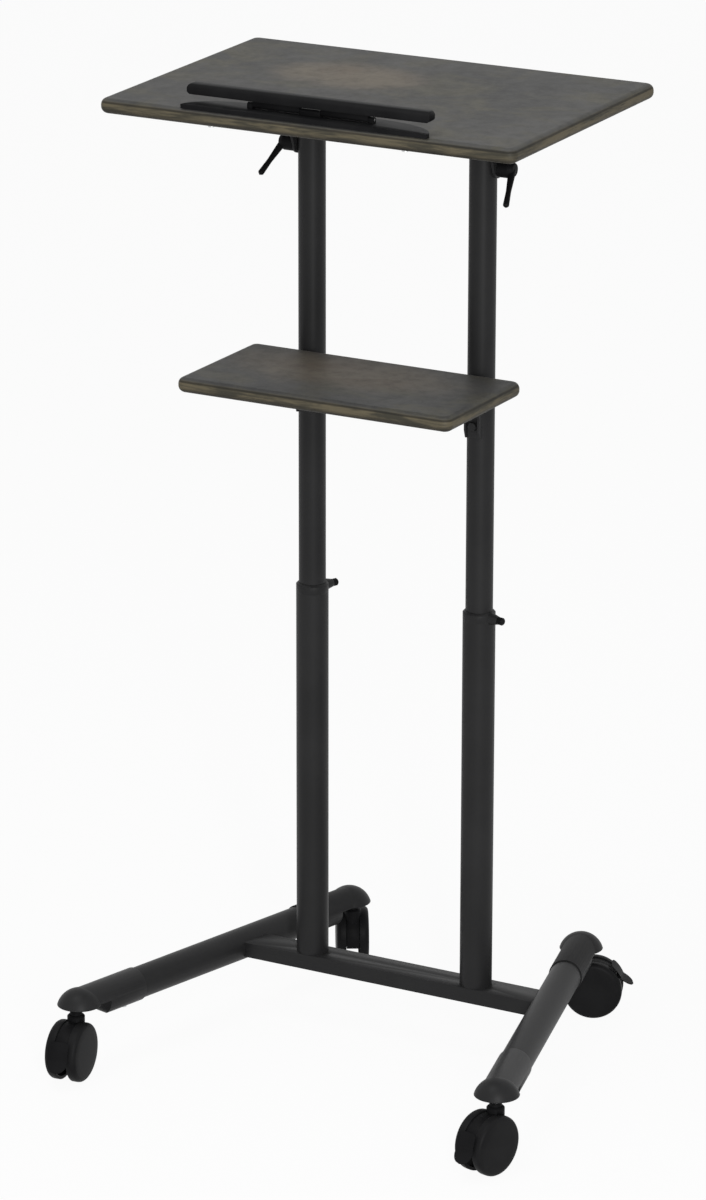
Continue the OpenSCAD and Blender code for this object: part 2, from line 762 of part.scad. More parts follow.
module book_stop_lip() color(black_plastic) top_frame() translate([0, hinge_y, 0]) {
    // The bar's section, with Y to the back, and its back face in line with the knuckles
    front_y = knuckle_r - stop_bar_d;
    difference() {
        union() {
            intersection() {
                translate([-stop_l / 2, 0, bar_low_z]) rotate([90, 0, 90]) linear_extrude(stop_l) {
                    translate([front_y, 0]) square([stop_bar_d, stop_bar_h - stop_bar_round]);
                    translate([front_y + stop_bar_round, 0])
                        square([stop_bar_d - stop_bar_round, stop_bar_h]);
                    translate([front_y + stop_bar_round, stop_bar_h - stop_bar_round])
                        circle(stop_bar_round);
                }
                // Round ends
                translate([0, 0, bar_low_z]) rotate([90, 0, 0])
                    linear_extrude(4 * stop_bar_d, center = true) {
                        end_r = stop_bar_h * 0.4;
                        translate([-stop_l / 2 + end_r, 0]) square([stop_l - 2 * end_r, stop_bar_h]);
                        translate([-stop_l / 2, end_r]) square([stop_l, stop_bar_h - 2 * end_r]);
                        for (x = [-1, 1], z = [end_r, stop_bar_h - end_r])
                            translate([x * (stop_l / 2 - end_r), z]) circle(end_r);
                    }
            }
            for (side = [left, right]) {
                x0 = side == left ? -lug_outer : lug_inner;
                translate([0, 0, hinge_z]) rod_x(knuckle_r, x0, x0 + lug_outer - lug_inner);
                translate([x0, -knuckle_r, hinge_z])
                    cube([lug_outer - lug_inner, 2 * knuckle_r, bar_low_z - hinge_z + bite]);
            }
        }
        translate([0, 0, hinge_z]) rod_x(stop_pin_d / 2 + running, -stop_l, stop_l);
    }
}

module book_stop_pin() color(bright_steel) top_frame() translate([0, hinge_y, hinge_z]) {
    reach = lug_outer + 0.5 + knuckle_l;
    rod_x(stop_pin_d / 2, -reach, reach);
}

module book_stop_screws() color(bright_steel) top_frame() {
    each_stop_boss() translate([0, 0, stop_boss_l - board_t]) wood_screw(board_t - 1);
}

// Shelf

function shelf_bolt_heights() = [shelf_low - 0.77 * arm_h, shelf_low - 0.26 * arm_h];
function shelf_screw_places() = [0.25, 0.55, 0.88];

module shelf_board() color(laminate) {
    difference() {
        translate([0, shelf_y, shelf_low]) shaped_board(shelf_w, shelf_d, shelf_corner_r);
        each_column() each_shelf_screw() translate([0, 0, -bite])
            cylinder(d = screw_d + 2 * running, h = screw_bite + 1 + bite);
    }
}

// The places of a shelf bracket's screws on the shelf's underside, in a column's frame
module each_shelf_screw() {
    for (share = shelf_screw_places()) translate([0, -inner_r - share * arm_l, shelf_low]) children();
}

// A channel of folded steel: a flange on the column, two cheeks and an arm under the shelf
module shelf_bracket(side) color(coated_steel) column_frame(side) {
    flange_y = -inner_r - running;
    difference() {
        union() {
            translate([-arm_w / 2, flange_y - arm_t, shelf_low - arm_h]) cube([arm_w, arm_t, arm_h]);
            translate([-arm_w / 2, flange_y - arm_l, shelf_low - arm_t]) cube([arm_w, arm_l, arm_t]);
            for (x = [-arm_w / 2, arm_w / 2 - arm_t]) translate([x, flange_y, shelf_low])
                rotate([90, 0, 90]) linear_extrude(arm_t)
                    polygon([[0, -arm_h], [-arm_cheek * 0.6, -arm_h], [-arm_cheek, -arm_h + 10],
                        [-arm_cheek, -arm_h * 0.4], [-arm_l, -2.5 * arm_t], [-arm_l, 0], [0, 0]]);
        }
        for (z = shelf_bolt_heights()) translate([0, 0, z])
            rod_y(shelf_bolt_d / 2 + loose, -2 * inner_d, 0);
        each_shelf_screw() translate([0, 0, -arm_t - bite])
            cylinder(d = screw_d + 2 * loose, h = arm_t + 2 * bite);
    }
}

module shelf_screws() color(bright_steel) each_column() {
    each_shelf_screw() translate([0, 0, -arm_t]) wood_screw(arm_t + screw_bite);
}

module shelf_bracket_bolts() color(coated_steel) each_column() {
    nut_y = -inner_r - running - arm_t;
    nut_h = 0.8 * shelf_bolt_d;
    for (z = shelf_bolt_heights()) translate([0, 0, z]) {
        rod_y(shelf_bolt_d / 2, nut_y - nut_h, inner_r);
        rod_y(0.9 * shelf_bolt_d, inner_r, inner_r + 0.55 * shelf_bolt_d);
        translate([0, nut_y - nut_h, 0]) rotate([-90, 0, 0]) hexagon(1.65 * shelf_bolt_d, nut_h);
    }
}

// Casters

module caster_stems() color(bright_steel) for (side = [left, right], end = [front, rear]) {
    translate([stem_x(side, end), stem_y(end), 0]) {
        translate([0, 0, neck_top]) cylinder(d = stem_d, h = stem_show + socket_l - 1);
        translate([0, 0, neck_top - stem_pin_l]) cylinder(d = stem_pin_d, h = stem_pin_l + bite);
    }
}

// Side outline of the caster body round its axle: an upper half with a short skirt, and a boss
module caster_outline() {
    skirt = 6;
    intersection() {
        circle(caster_rim_r);
        translate([-wheel_r, -skirt]) square([wheel_d, wheel_r + skirt]);
    }
    circle(pedal_hub_r + 3);
}

module caster_neck(side, end) caster_frame(side, end) {
    edge = 2;
    translate([0, 0, axle_z]) cylinder(d = neck_d, h = neck_z - edge - axle_z);
    translate([0, 0, neck_z - edge]) cylinder(d1 = neck_d, d2 = neck_d - 2 * edge, h = edge);
    translate([0, 0, neck_z - bite]) cylinder(d = neck_collar_d, h = neck_top - neck_z + bite);
}

// Angle over which the pedal's web joins its panel, from the panel's lower edge
web_span = 11;

module caster_body(side, end) color(black_plastic) {
    difference() {
        union() {
            across_caster(side, end, caster_body_w) caster_outline();
            // The neck is as narrow as the body between the wheels and full round above them
            intersection() {
                caster_neck(side, end);
                across_caster(side, end, caster_body_w) square(2 * wheel_d, center = true);
            }
            difference() {
                caster_neck(side, end);
                across_caster(side, end, 2 * neck_d) circle(wheel_r + 2 * wheel_gap);
            }
        }
        across_caster(side, end, 2 * caster_body_w) circle(axle_d / 2 + running);
        // Slot in which the brake pedal's web swings
        across_caster(side, end, pedal_web_t + 2 * loose) {
            circle(pedal_hub_r + loose);
            sector(pedal_from - 5, pedal_from + pedal_lift + web_span + 4, wheel_d);
        }
        caster_frame(side, end) translate([0, 0, neck_top - stem_pin_l - 0.5])
            cylinder(d = stem_pin_d + 2 * running, h = stem_pin_l + 2 * bite);
    }
}

module wheel_half_section() {
    difference() {
        union() {
            square([wheel_r - wheel_round, wheel_w]);
            square([wheel_r, wheel_w - wheel_round]);
            translate([wheel_r - wheel_round, wheel_w - wheel_round]) circle(wheel_round);
        }
        translate([hub_r, -bite]) square([wheel_r - rim_t - hub_r, wheel_w - wheel_face_t + bite]);
        translate([-bite, -bite]) square([axle_d / 2 + fixed + bite, wheel_w - axle_cover + bite]);
    }
}

module wheels(side, end) color(black_plastic) {
    caster_frame(side, end) translate([caster_trail, 0, axle_z]) for (turn = [90, -90])
        rotate([turn, 0, 0]) translate([0, 0, wheel_in]) rotate_extrude() wheel_half_section();
}

module axle(side, end) color(bright_steel) {
    across_caster(side, end, 2 * (wheel_out - axle_cover - loose)) circle(axle_d / 2);
}

// The pedal round its axle: released at the rear casters, pressed at the front ones
module brake_pedal(side, end) color(black_plastic) {
    turn = end == front ? 0 : pedal_lift;
    difference() {
        union() {
            across_caster(side, end, pedal_web_t) rotate(turn) {
                circle(pedal_hub_r);
                intersection() {
                    sector(pedal_from, pedal_from + web_span, wheel_d);
                    circle(pedal_out_r - 0.5);
                }
            }
            across_caster(side, end, pedal_w) rotate(turn) {
                intersection() {
                    sector(pedal_from, pedal_to, wheel_d);
                    difference() {
                        circle(pedal_out_r);
                        circle(pedal_in_r);
                    }
                }
                rotate(pedal_from) translate([pedal_out_r - pedal_t / 2, 0]) rotate(-lip_turn) {
                    translate([0, -pedal_t / 2]) square([lip_l, pedal_t]);
                    translate([lip_l, 0]) circle(pedal_t / 2);
                    circle(pedal_t / 2);
                }
            }
        }
        across_caster(side, end, 2 * pedal_w) circle(axle_d / 2 + running);
    }
}

crossbar();
leg_tube(left);  // left_leg_tube
leg_tube(right);  // right_leg_tube
shoe(left, front);  // front_left_shoe
shoe(right, front);  // front_right_shoe
shoe(left, rear);  // rear_left_shoe
shoe(right, rear);  // rear_right_shoe
shoe_screws();
outer_tube(left);  // left_outer_tube
outer_tube(right);  // right_outer_tube
outer_tube_plugs();
column_bolts();
collar(left);  // left_collar
collar(right);  // right_collar
lock_knob(left);  // left_lock_knob
lock_knob(right);  // right_lock_knob
lock_pads();
inner_tube(left);  // left_inner_tube
inner_tube(right);  // right_inner_tube
inner_tube_glides();
head_plug(left);  // left_head_plug
head_plug(right);  // right_head_plug
pivot_stud(left);  // left_pivot_stud
pivot_stud(right);  // right_pivot_stud
tilt_bracket(left);  // left_tilt_bracket
tilt_bracket(right);  // right_tilt_bracket
tilt_lever(left);  // left_tilt_lever
tilt_lever(right);  // right_tilt_lever
tilt_washers();
bracket_screws();
table_top();
book_stop_base();
book_stop_lip();
book_stop_pin();
book_stop_screws();
shelf_board();
shelf_bracket(left);  // left_shelf_bracket
shelf_bracket(right);  // right_shelf_bracket
shelf_screws();
shelf_bracket_bolts();
caster_stems();
caster_body(left, front);  // front_left_caster_body
caster_body(right, front);  // front_right_caster_body
caster_body(left, rear);  // rear_left_caster_body
caster_body(right, rear);  // rear_right_caster_body
wheels(left, front);  // front_left_wheels
wheels(right, front);  // front_right_wheels
wheels(left, rear);  // rear_left_wheels
wheels(right, rear);  // rear_right_wheels
axle(left, front);  // front_left_axle
axle(right, front);  // front_right_axle
axle(left, rear);  // rear_left_axle
axle(right, rear);  // rear_right_axle
brake_pedal(left, front);  // front_left_brake_pedal
brake_pedal(right, front);  // front_right_brake_pedal
brake_pedal(left, rear);  // rear_left_brake_pedal
brake_pedal(right, rear);  // rear_right_brake_pedal
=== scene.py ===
import json
import math

import bmesh
import bpy
from mathutils import Matrix, Vector


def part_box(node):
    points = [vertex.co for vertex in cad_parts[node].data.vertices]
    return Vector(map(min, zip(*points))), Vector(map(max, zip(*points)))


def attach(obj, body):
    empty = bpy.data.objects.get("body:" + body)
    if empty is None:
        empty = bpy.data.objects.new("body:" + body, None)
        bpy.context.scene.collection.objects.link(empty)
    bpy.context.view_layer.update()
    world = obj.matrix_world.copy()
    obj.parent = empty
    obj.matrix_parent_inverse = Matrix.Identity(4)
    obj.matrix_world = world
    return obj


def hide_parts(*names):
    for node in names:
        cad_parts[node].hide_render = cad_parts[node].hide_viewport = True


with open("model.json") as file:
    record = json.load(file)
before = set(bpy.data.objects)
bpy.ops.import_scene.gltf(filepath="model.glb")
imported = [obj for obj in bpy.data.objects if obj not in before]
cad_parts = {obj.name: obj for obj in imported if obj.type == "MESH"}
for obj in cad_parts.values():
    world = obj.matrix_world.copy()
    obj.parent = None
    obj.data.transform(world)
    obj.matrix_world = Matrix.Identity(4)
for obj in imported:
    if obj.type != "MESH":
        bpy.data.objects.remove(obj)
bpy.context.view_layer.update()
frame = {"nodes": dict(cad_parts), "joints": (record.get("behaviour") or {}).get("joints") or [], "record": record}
nodes = frame["nodes"]

SIDES = ("left", "right")
CORNERS = ("front_left", "front_right", "rear_left", "rear_right")


def frame_box_middle(node):
    low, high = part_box(node)
    return (low + high) / 2


# Camera, at the photograph's viewing angle

def make_camera():
    right = Vector((0.87617, 0.48201, 0.00157))
    up = Vector((-0.15013, 0.26980, 0.95114))
    back = Vector((0.45803, -0.83359, 0.30875))
    data = bpy.data.cameras.new("camera")
    data.lens = 160.07
    data.sensor_width = 36.0
    data.clip_end = 100.0
    camera = bpy.data.objects.new("camera", data)
    bpy.context.scene.collection.objects.link(camera)
    turn = Matrix((right, up, back)).transposed().to_4x4()
    column_y = frame_box_middle("left_inner_tube").y
    camera.matrix_world = Matrix.Translation((2.8961, column_y - 5.3758, 2.5541)) @ turn
    bpy.context.scene.camera = camera


make_camera()


# Shader writing

class Wire:
    """A shader value that Python expressions can use."""

    def __init__(self, finish, socket):
        self.finish = finish
        self.socket = socket

    def math(self, operation, *others):
        return self.finish.add("ShaderNodeMath", {"operation": operation}, self, *others)

    def __add__(self, other):
        return self.math("ADD", other)

    def __radd__(self, other):
        return self.math("ADD", other)

    def __sub__(self, other):
        return self.math("SUBTRACT", other)

    def __rsub__(self, other):
        return self.finish.add("ShaderNodeMath", {"operation": "SUBTRACT"}, other, self)

    def __mul__(self, other):
        return self.math("MULTIPLY", other)

    def __rmul__(self, other):
        return self.math("MULTIPLY", other)

    def __truediv__(self, other):
        return self.math("DIVIDE", other)

    def __abs__(self):
        return self.math("ABSOLUTE")

    def smooth(self, low, high):
        """0 below low and 1 above high, with a soft step between them."""
        return self.finish.add("ShaderNodeMapRange", {"interpolation_type": "SMOOTHSTEP"},
                               Value=self, **{"From Min": low, "From Max": high})


class Finish:
    """A procedural material on a Principled shader, patterned in the object's own coordinates."""

    def __init__(self, name, **sockets):
        self.material = bpy.data.materials.new(name)
        self.material.use_nodes = True
        self.tree = self.material.node_tree
        self.shader = self.tree.nodes["Principled BSDF"]
        self.place = self.add("ShaderNodeTexCoord", {}, out="Object")
        for socket, value in sockets.items():
            self.set(socket, value)

    def set(self, socket, value):
        self.join(self.shader.inputs[socket.replace("_", " ")], value)

    def join(self, target, value):
        if isinstance(value, Wire):
            self.tree.links.new(value.socket, target)
        else:
            target.default_value = value

    def add(self, kind, settings, *values, out=0, **named):
        node = self.tree.nodes.new(kind)
        for key, value in settings.items():
            if key == "stops":
                self.fill_ramp(node.color_ramp, value)
            else:
                setattr(node, key, value)
        for index, value in enumerate(values):
            self.join(node.inputs[index], value)
        for key, value in named.items():
            self.join(node.inputs[key], value)
        return Wire(self, node.outputs[out])

    @staticmethod
    def fill_ramp(ramp, stops):
        while len(ramp.elements) < len(stops):
            ramp.elements.new(0.5)
        for element, (place, colour) in zip(ramp.elements, stops):
            element.position = place
            element.color = (*colour, 1.0)

    def axis(self, letter):
        return self.add("ShaderNodeSeparateXYZ", {}, self.place, out="XYZ".index(letter))

    def moved(self, stretch=(1, 1, 1), offset=(0, 0, 0)):
        return self.add("ShaderNodeMapping", {}, Vector=self.place, Scale=stretch, Location=offset)

    def noise(self, scale, detail=4.0, roughness=0.55, where=None, distortion=0.0):
        return self.add("ShaderNodeTexNoise", {}, Vector=where or self.place, Scale=scale,
                        Detail=detail, Roughness=roughness, Distortion=distortion, out=0)

    def mix(self, share, first, second, blend="MIX"):
        node = self.tree.nodes.new("ShaderNodeMix")
        node.data_type = "RGBA"
        node.blend_type = blend
        self.join(node.inputs[0], share)
        for index, value in ((6, first), (7, second)):
            self.join(node.inputs[index], value if isinstance(value, Wire) else (*value, 1.0))
        return Wire(self, node.outputs[2])

    def bump(self, height, strength, distance):
        self.set("Normal", self.add("ShaderNodeBump", {}, Height=height, Strength=strength,
                                    Distance=distance))

    def wear(self, names):
        for node in names:
            data = nodes[node].data
            data.materials.clear()
            data.materials.append(self.material)


# Finishes

def powder_coat():
    """Satin black powder coat on steel, with its fine orange peel and a little unevenness."""
    finish = Finish("powder_coat", Metallic=0.0, IOR=1.5, Specular_IOR_Level=0.12)
    peel = finish.noise(900.0, 2.0, 0.5)
    cloud = finish.noise(9.0, 3.0, 0.6)
    finish.set("Base Color", finish.mix(cloud.smooth(0.35, 0.7), (0.0170, 0.0170, 0.0175), (0.0210, 0.0210, 0.0215)))
    finish.set("Roughness", 0.40 + 0.08 * cloud)
    finish.bump(peel, 0.25, 0.00012)
    return finish


def moulded_plastic(name, dark, light, rough, shine=0.05):
    """Black moulded plastic with a fine grain and slightly uneven gloss."""
    finish = Finish(name, IOR=1.48, Specular_IOR_Level=shine)
    grain = finish.noise(1500.0, 2.0, 0.6)
    cloud = finish.noise(22.0, 3.0, 0.6)
    finish.set("Base Color", finish.mix(cloud.smooth(0.3, 0.7), dark, light))
    finish.set("Roughness", rough + 0.1 * cloud)
    finish.bump(grain, 0.3, 0.0001)
    return finish


def zinc_plate():
    """Bright zinc-plated steel with fine turning marks."""
    finish = Finish("zinc_plate", Metallic=1.0)
    fine = finish.noise(700.0, 3.0, 0.6)
    cloud = finish.noise(60.0, 2.0, 0.5)
    finish.set("Base Color", finish.mix(cloud, (0.52, 0.53, 0.54), (0.66, 0.66, 0.65)))
    finish.set("Roughness", 0.24 + 0.16 * fine)
    finish.bump(fine, 0.15, 0.00008)
    return finish


def rustic_laminate(name, mount, rust_place, offset):
    """Dark slate laminate with soft clouds, a rusty patch, fine scratches and an olive band on its edge, with painted
    shade along the edge's top arris and lower corner.
    """
    finish = Finish(name, IOR=1.5, Specular_IOR_Level=0.12)
    place = finish.moved((1, 1, 1), offset)
    x, y, z = (finish.axis(letter) for letter in "XYZ")
    # The height over the upper face
    pos, up = mount["pos_m"], mount["axis"]
    above = (z - pos[2]) * up[2] + (y - pos[1]) * up[1]
    broad = finish.noise(4.5, 4.0, 0.55, place, 0.5)
    patch = finish.noise(11.0, 5.0, 0.62, finish.moved((1, 1.3, 1), (3.1 + offset[0], 1.7, 0.4)), 0.6)
    fine = finish.noise(60.0, 6.0, 0.7, place)
    speck = finish.noise(190.0, 3.0, 0.6, place)
    scratch = finish.noise(24.0, 5.0, 0.7, finish.moved((1.0, 5.0, 1.0), offset), 1.2)
    slate = finish.mix(broad.smooth(0.36, 0.64), (0.050, 0.050, 0.049), (0.076, 0.075, 0.072))
    olive = finish.mix(patch.smooth(0.46, 0.66) * 0.8, slate, (0.084, 0.079, 0.060))
    # A rusty and paler patch behind the middle, broken up by the clouds
    across = (x - rust_place[0]) / rust_place[2]
    along = (y - rust_place[1]) / rust_place[3]
    far = across * across + along * along
    near = 1 - (far + (broad - 0.5) * 3.0 + (patch - 0.5) * 3.0).smooth(-0.2, 1.9)
    pale = finish.mix(near * 0.9, olive, (0.152, 0.130, 0.099))
    rusty = finish.mix((near * patch.smooth(0.42, 0.6)) * 0.5, pale, (0.125, 0.090, 0.064))
    mottled = finish.mix(fine.smooth(0.42, 0.72) * 0.35, rusty, (0.040, 0.040, 0.040))
    flecked = finish.mix(scratch.smooth(0.66, 0.74) * 0.5, mottled, (0.150, 0.145, 0.135))
    face = finish.mix(speck.smooth(0.55, 0.75) * 0.2, flecked, (0.125, 0.118, 0.105))
    # The rounded edge: its own olive and brown band, with painted shade as a dark line under the top arris and as a
    # dark lower, downward-turning corner
    streak = finish.noise(14.0, 4.0, 0.6, finish.moved((1, 1, 7), offset), 0.3)
    grain = finish.noise(70.0, 4.0, 0.6, finish.moved((0.5, 0.5, 6), offset))
    band = finish.mix((streak * 0.7 + grain * 0.3).smooth(0.40, 0.60), (0.044, 0.041, 0.031), (0.110, 0.094, 0.062))
    edge = finish.mix(above.smooth(-0.0042, -0.0012), band, face)
    # Painted shade: a dark line where the upper rounding turns away from the light
    arris_shade = 1 - abs(above + 0.0040).smooth(0.0004, 0.0018)
    # Painted shade: the lower part of the rounded edge, which faces down, is darkened
    underside_shade = 1 - above.smooth(-0.0155, -0.0100)
    edge_with_painted_shade = finish.mix(arris_shade.math("MAXIMUM", underside_shade) * 0.75, edge, (0.016, 0.015, 0.013))
    finish.set("Base Color", edge_with_painted_shade)
    finish.set("Roughness", 0.42 + 0.22 * fine)
    finish.bump(fine * 0.7 + speck * 0.3, 0.12, 0.0004)
    return finish


coat = powder_coat()
plastic = moulded_plastic("black_plastic", (0.0060, 0.0060, 0.0065), (0.0095, 0.0095, 0.0100), 0.44)
wheel_plastic = moulded_plastic("wheel_plastic", (0.0090, 0.0090, 0.0095), (0.0130, 0.0130, 0.0135), 0.40)
satin_plastic = moulded_plastic("satin_plastic", (0.0160, 0.0160, 0.0165), (0.0200, 0.0200, 0.0205), 0.40, 0.12)
nylon = moulded_plastic("nylon", (0.030, 0.030, 0.032), (0.040, 0.040, 0.042), 0.50)
zinc = zinc_plate()

of_slot = {"coated_steel": coat, "black_plastic": plastic, "wheel_plastic": wheel_plastic,
           "bright_steel": zinc, "nylon": nylon}
slot_of = {part["node"]: part["material_slot"] for part in frame["record"]["subparts"]}
for node, slot in slot_of.items():
    if slot in of_slot:
        of_slot[slot].wear([node])
mount_of = {mount["name"]: mount for mount in frame["record"]["mounts"]}
rustic_laminate("table_laminate", mount_of["table_surface"], (-0.064, 0.046, 0.082, 0.056),
                (0.0, 0.0, 0.0)).wear(["table_top"])
rustic_laminate("shelf_laminate", mount_of["shelf_top"], (-0.015, -0.047, 0.130, 0.060),
                (2.3, 1.1, 0.7)).wear(["shelf_board"])


# Making pieces

MM = 0.001
joint_of = {joint["name"]: joint for joint in frame["joints"]}
body_of = {node: body for body, members in frame["record"]["behaviour"]["bodies"].items() for node in members}


def rounded(points, steps=4):
    """An outline whose corners are rounded where a point has a third number, its fillet radius."""
    outline = []
    for index, (x, y, *fillet) in enumerate(points):
        here = Vector((x, y))
        if not fillet:
            outline.append(here)
            continue
        before = (Vector(points[index - 1][:2]) - here).normalized()
        after = (Vector(points[(index + 1) % len(points)][:2]) - here).normalized()
        half = before.angle(after) / 2
        centre = here + (before + after).normalized() * fillet[0] / math.sin(half)
        start = here + before * fillet[0] / math.tan(half) - centre
        end = here + after * fillet[0] / math.tan(half) - centre
        sweep = start.angle_signed(end)
        for step in range(steps + 1):
            outline.append(centre + Matrix.Rotation(-sweep * step / steps, 2) @ start)
    return outline


def turned(profile, steps=48):
    """A solid of revolution about Z, from an outline of radius and height in millimetres."""
    build = bmesh.new()
    verts = [build.verts.new((r * MM, 0, z * MM)) for r, z in profile]
    edges = [build.edges.new(pair) for pair in zip(verts, verts[1:])]
    if profile[0][0] > 0:
        edges.append(build.edges.new((verts[-1], verts[0])))
    bmesh.ops.spin(build, geom=verts + edges, cent=(0, 0, 0), axis=(0, 0, 1), dvec=(0, 0, 0),
                   angle=2 * math.pi, steps=steps, use_merge=True, use_duplicate=False)
    bmesh.ops.remove_doubles(build, verts=build.verts, dist=1e-6)
    bmesh.ops.recalc_face_normals(build, faces=build.faces)
    return build


def prism(outline, low, high):
    """A solid from a flat outline in millimetres, standing from one height to another."""
    build = bmesh.new()
    face = build.faces.new([build.verts.new((x * MM, y * MM, low * MM)) for x, y in outline])
    raised = bmesh.ops.extrude_face_region(build, geom=[face])["geom"]
    bmesh.ops.translate(build, verts=[v for v in raised if isinstance(v, bmesh.types.BMVert)],
                        vec=(0, 0, (high - low) * MM))
    bmesh.ops.recalc_face_normals(build, faces=build.faces)
    return build


def joined(*builds):
    """One mesh from several, each with a matrix that puts it in place."""
    whole = bmesh.new()
    for build, place in builds:
        bmesh.ops.transform(build, matrix=place, verts=build.verts)
        if place.determinant() < 0:
            bmesh.ops.reverse_faces(build, faces=build.faces)
        part = bpy.data.meshes.new("part")
        build.to_mesh(part)
        build.free()
        whole.from_mesh(part)
        bpy.data.meshes.remove(part)
    return whole


def piece(name, build, body, finish, replaced=(), bevel=0.0, sharp=38.0):
    """Makes a mesh a piece that rides on a body, with smooth faces and slightly rounded edges."""
    mesh = bpy.data.meshes.new(name)
    build.to_mesh(mesh)
    build.free()
    thing = bpy.data.objects.new(name, mesh)
    bpy.context.scene.collection.objects.link(thing)
    mesh.materials.append(finish.material)
    mesh.shade_smooth()
    if bevel:
        rounder = thing.modifiers.new("edges", "BEVEL")
        rounder.width = bevel * MM
        rounder.segments = 2
        rounder.limit_method = "ANGLE"
        rounder.angle_limit = math.radians(sharp)
        rounder.harden_normals = True
    else:
        mesh.set_sharp_from_angle(angle=math.radians(sharp))
    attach(thing, body)
    if replaced:
        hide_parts(*replaced)
    return thing


def softened(node, bevel, finish=None, sharp=38.0):
    """A copy of a CAD node in its place, merged and with slightly rounded edges."""
    build = bmesh.new()
    build.from_mesh(nodes[node].data)
    bmesh.ops.remove_doubles(build, verts=build.verts, dist=2e-6)
    bmesh.ops.dissolve_limit(build, angle_limit=math.radians(0.3), verts=build.verts, edges=build.edges)
    slot = slot_of[node]
    return piece(node + "_rounded", build, body_of[node], finish or of_slot[slot], [node], bevel, sharp)


def column_frame(side):
    """From a column's own place, +X outward, to the part's place."""
    low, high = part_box(side + "_inner_tube")
    centre = (low + high) / 2
    flip = Matrix.Scale(-1, 4, (1, 0, 0)) if side == "left" else Matrix.Identity(4)
    return Matrix.Translation((centre.x, centre.y, 0)) @ flip


def caster_frame(corner):
    """From a caster's own place, trailing towards +X with the floor at 0, to the part's place."""
    stem = joint_of[corner + "_swivel"]["pos_m"]
    across = Vector(joint_of[corner + "_wheel_spin"]["axis"])
    trail = Vector((-across.y, across.x, 0))
    turn = Matrix((trail, -across, Vector((0, 0, 1)))).transposed().to_4x4()
    return Matrix.Translation((stem[0], stem[1], 0)) @ turn


def axle_frame(corner):
    """As caster_frame, with its origin in the middle of the axle."""
    axle = joint_of[corner + "_wheel_spin"]["pos_m"]
    place = caster_frame(corner)
    place.translation = axle
    return place


# Casters

WHEEL_IN = 8.4
WHEEL_R = 36.5
WHEEL_FACE = [(0, 12.8), (14.0, 12.75), (24.0, 12.5, 8.0), (36.5, 12.0, 5.6)]
WHEEL_INSIDE = [(36.5, 0.1, 0.6), (32.5, 0.1, 0.5), (32.5, 8.4, 1.0), (11.0, 8.4, 1.0), (11.0, 0.1, 0.4),
                (4.1, 0.1), (4.1, 9.8), (0, 9.8)]


def make_wheels(corner):
    halves = []
    for turn in (-90, 90):
        lift = Matrix.Translation((0, 0, WHEEL_IN * MM))
        halves.append((turned(rounded(WHEEL_FACE + WHEEL_INSIDE), 72),
                       axle_frame(corner) @ Matrix.Rotation(math.radians(turn), 4, "X") @ lift))
    piece(corner + "_domed_wheels", joined(*halves), corner + "_wheelset", wheel_plastic,
          [corner + "_wheels"], sharp=30)


PANEL_R = WHEEL_R + 3.0
PANEL_T = 1.4
HUB_R, HUB_STEPS, WEB_HALF_W = 9.4, 32, 2.4
PANEL_FROM, PANEL_TO, PANEL_LIFT = 1.0, 34.0, 20.0
PANEL_HALF_W, LIP_L, LIP_TURN = 12.5, 15.3, 53.0
LIP_END_R, TOP_END_R = 12.0, 5.5


def bent_panel():
    """The pedal's tread panel: a tongue with round ends, bent round the wheels and out to its lip."""
    arc = math.radians(PANEL_TO - PANEL_FROM) * PANEL_R
    whole = arc + LIP_L
    build = bmesh.new()
    bmesh.ops.create_grid(build, x_segments=26, y_segments=8, size=0.5)
    start = math.radians(PANEL_FROM)
    away = math.radians(PANEL_FROM - LIP_TURN)
    for vert in build.verts:
        run = (vert.co.x + 0.5) * whole
        end_r = LIP_END_R if run > whole / 2 else TOP_END_R
        inward = end_r - min(end_r, run, whole - run)
        half = PANEL_HALF_W - end_r + math.sqrt(max(0.0, end_r ** 2 - inward ** 2))
        if run < arc:
            angle = math.radians(PANEL_TO) - run / PANEL_R
            x, z = PANEL_R * math.cos(angle), PANEL_R * math.sin(angle)
        else:
            x = PANEL_R * math.cos(start) + (run - arc) * math.cos(away)
            z = PANEL_R * math.sin(start) + (run - arc) * math.sin(away)
        vert.co = Vector((x, vert.co.y * 2 * half, z)) * MM
    bmesh.ops.solidify(build, geom=build.faces, thickness=-PANEL_T * MM)
    bmesh.ops.recalc_face_normals(build, faces=build.faces)
    return build


def make_pedal(corner):
    lift = 0.0 if corner.startswith("front") else PANEL_LIFT
    place = axle_frame(corner) @ Matrix.Rotation(math.radians(-lift), 4, "Y")
    on_edge = Matrix.Rotation(math.radians(90), 4, "X")
    hub = prism([(HUB_R * math.cos(step * 2 * math.pi / HUB_STEPS), HUB_R * math.sin(step * 2 * math.pi / HUB_STEPS))
                 for step in range(HUB_STEPS)], -WEB_HALF_W, WEB_HALF_W)
    web = prism([(8.0, 0.3), (38.8, 1.2), (38.1, 7.6), (8.0, 1.5)], -WEB_HALF_W, WEB_HALF_W)
    whole = joined((bent_panel(), place), (hub, place @ on_edge), (web, place @ on_edge))
    piece(corner + "_pedal_tongue", whole, corner + "_brake", plastic,
          [corner + "_brake_pedal"], bevel=0.5)


for corner in CORNERS:
    make_wheels(corner)
    make_pedal(corner)


# Clamp levers

LEVER_HUB = [(0, 0), (10.4, 0, 0.6), (10.4, 13.5, 1.5), (9.2, 16.5, 1.5), (7.6, 19.6, 1.6), (0, 19.9)]
LEVER_ARM = [(0, -2.5), (4.2, -1.0, 0.8), (4.3, 8.0, 4.0), (3.1, 31.0, 12.0), (3.5, 45.0, 6.0), (3.7, 50.6, 2.4),
             (0, 53.6)]
LEVER_DIP = {"left": 41.0, "right": 43.0}
LEVER_LEAN = math.radians(12.0)


